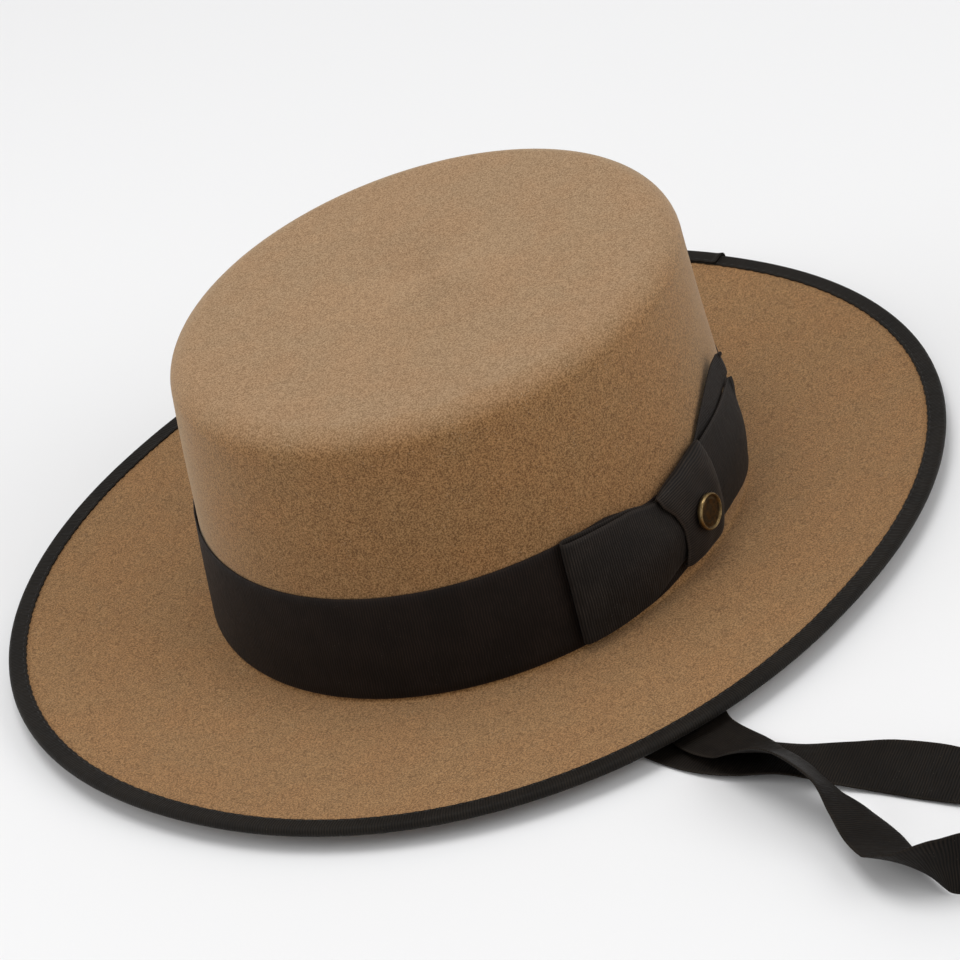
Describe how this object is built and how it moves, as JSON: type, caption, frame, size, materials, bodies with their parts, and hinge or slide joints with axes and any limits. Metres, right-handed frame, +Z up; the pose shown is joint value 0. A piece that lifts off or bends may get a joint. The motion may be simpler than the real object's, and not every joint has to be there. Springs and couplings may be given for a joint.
{
  "type": "felt hat",
  "caption": "A stiff felt hat with a flat oval crown and flat brim, with a ribbon band, side bow and small stud, a bound brim edge and a ribbon chin strap laid out beside it.",
  "frame": {"origin": "the floor under the middle of the hat's outline, the chin strap left out", "axes": "+X to the front, +Y to the wearer's left, where the bow is, +Z up through the crown's top"},
  "size_m": [0.3422, 0.4312, 0.0983],
  "materials": {
    "felt": "short brushed nap",
    "ribbon": "ribbed grosgrain",
    "brass": "worn satin"
  },
  "bodies": {
    "root": {"felt_body": "felt", "hat_band": "ribbon", "brim_binding": "ribbon", "bow_loop": "ribbon", "bow_tail_under": "ribbon", "bow_tail_over": "ribbon", "bow_knot": "ribbon", "bow_stud": "brass", "chin_strap": "ribbon"}
  },
  "joints": []
}
